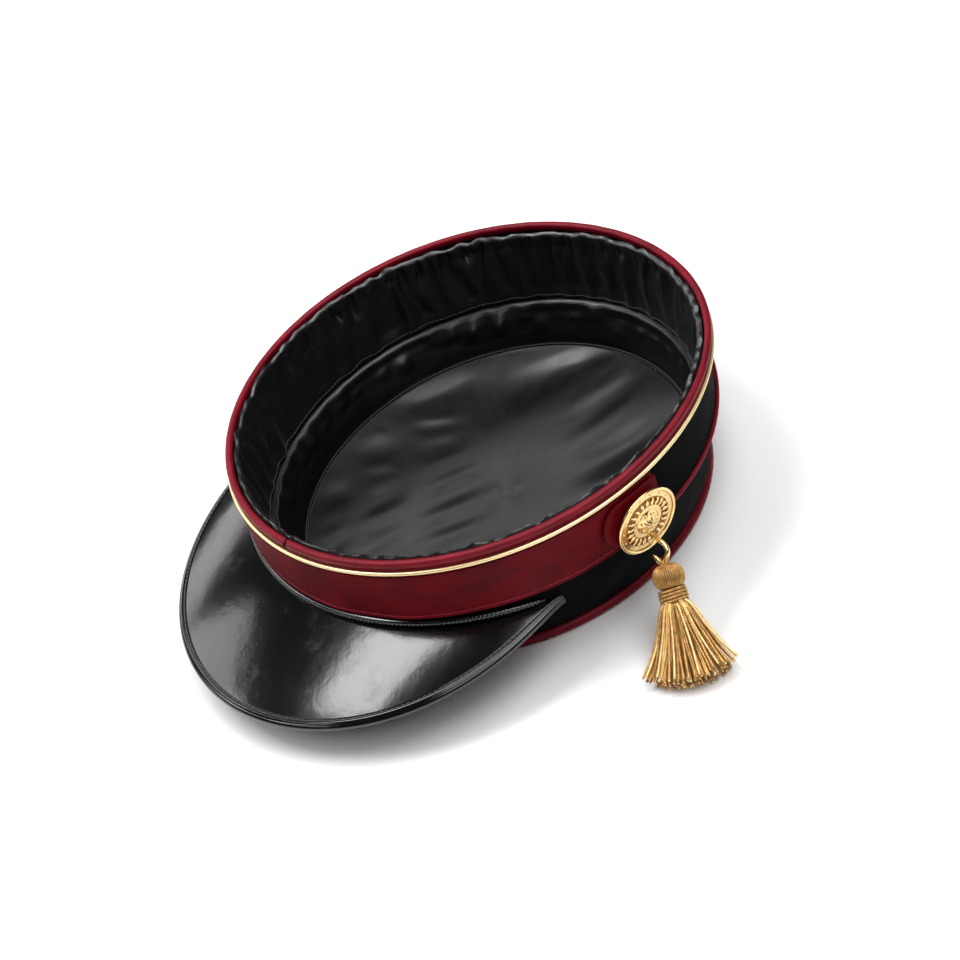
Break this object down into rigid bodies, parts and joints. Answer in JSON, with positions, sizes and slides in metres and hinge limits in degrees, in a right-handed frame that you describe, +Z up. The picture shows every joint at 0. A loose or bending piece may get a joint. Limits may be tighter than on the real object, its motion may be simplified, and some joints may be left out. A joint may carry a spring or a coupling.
{
  "type": "uniform hat",
  "caption": "Drum-shaped peaked uniform hat lying mouth up, with crimson band, gold piping, gathered lining, patent peak, gilt side button and tassel.",
  "frame": {"origin": "centre of the crown's flat outer face, which rests on the floor", "axes": "+Z up through the open mouth, -Y towards the peak, +X towards the button and tassel"},
  "size_m": [0.2425, 0.2496, 0.0683],
  "materials": {
    "crimson_satin": "satin",
    "black_felt": "matte",
    "black_satin": "satin",
    "black_patent": "gloss",
    "gold_cord": "metallic",
    "gilt_metal": "polished"
  },
  "bodies": {
    "root": {"crown_top": "black_felt", "crown_side": "black_felt", "crown_piping": "crimson_satin", "band_wall": "black_felt", "crimson_band": "crimson_satin", "band_welt": "crimson_satin", "gold_piping": "gold_cord", "rim_piping": "crimson_satin", "peak": "black_patent", "peak_binding": "black_patent", "peak_root_strip": "black_patent", "lining_wall": "black_satin", "lining_lower": "black_satin", "lining_disc": "black_satin", "side_tab": "crimson_satin", "side_button": "gilt_metal", "tassel_hook": "gilt_metal", "tassel": "gold_cord"}
  },
  "joints": []
}
